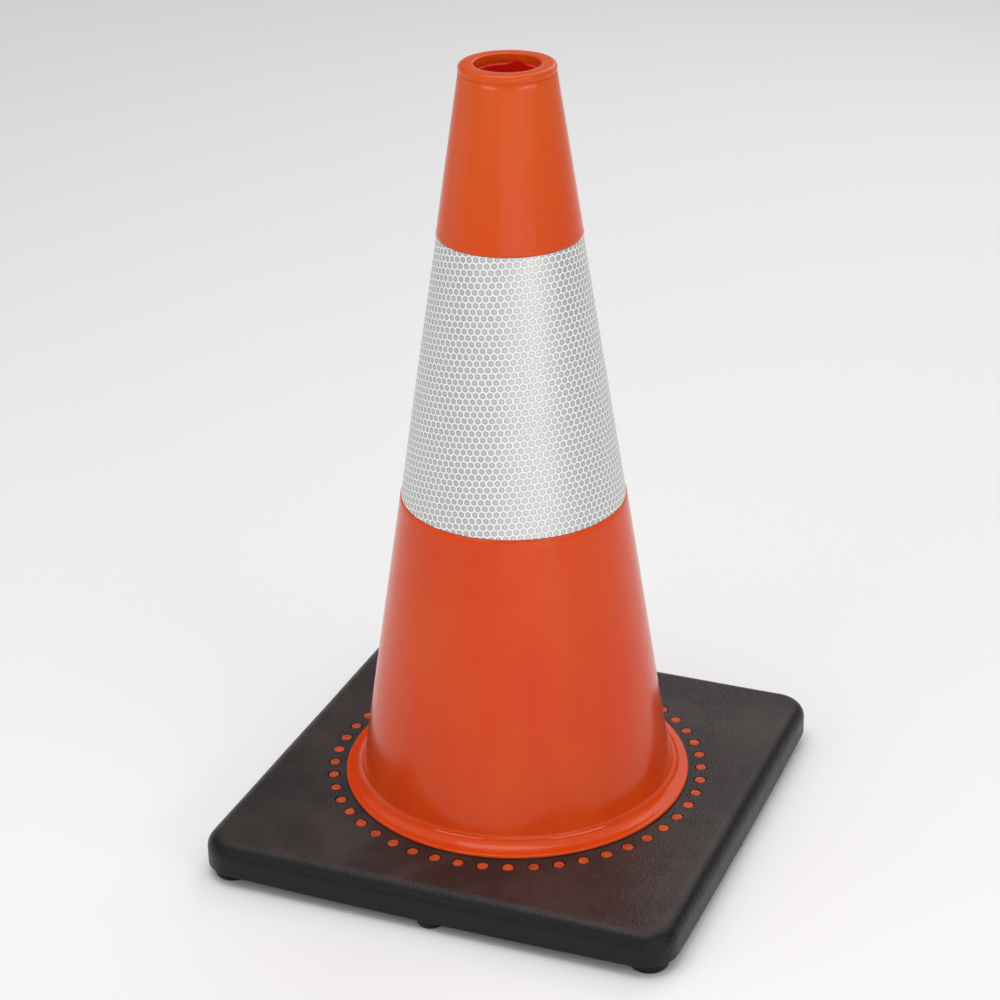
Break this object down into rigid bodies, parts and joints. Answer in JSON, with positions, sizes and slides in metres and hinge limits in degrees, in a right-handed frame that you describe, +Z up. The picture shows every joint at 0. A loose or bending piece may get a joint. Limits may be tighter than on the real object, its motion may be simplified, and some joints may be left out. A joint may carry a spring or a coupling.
{
  "type": "traffic cone",
  "caption": "Hollow tapering traffic cone with a reflective collar, locked into a square weighted base with feet; open at the top and below.",
  "frame": {"origin": "on the ground, at the centre of the square base", "axes": "+Z up the axis of the cone; X and Y along the sides of the base"},
  "size_m": [0.28, 0.28, 0.45],
  "materials": {
    "orange_pvc": "satin-gloss flexible PVC",
    "black_rubber": "matt recycled rubber, dusty on top",
    "reflective_sheet": "silver-white honeycomb retroreflective sheeting"
  },
  "bodies": {
    "root": {"cone_body": "orange_pvc", "base": "black_rubber", "reflective_collar": "reflective_sheet"}
  },
  "joints": []
}
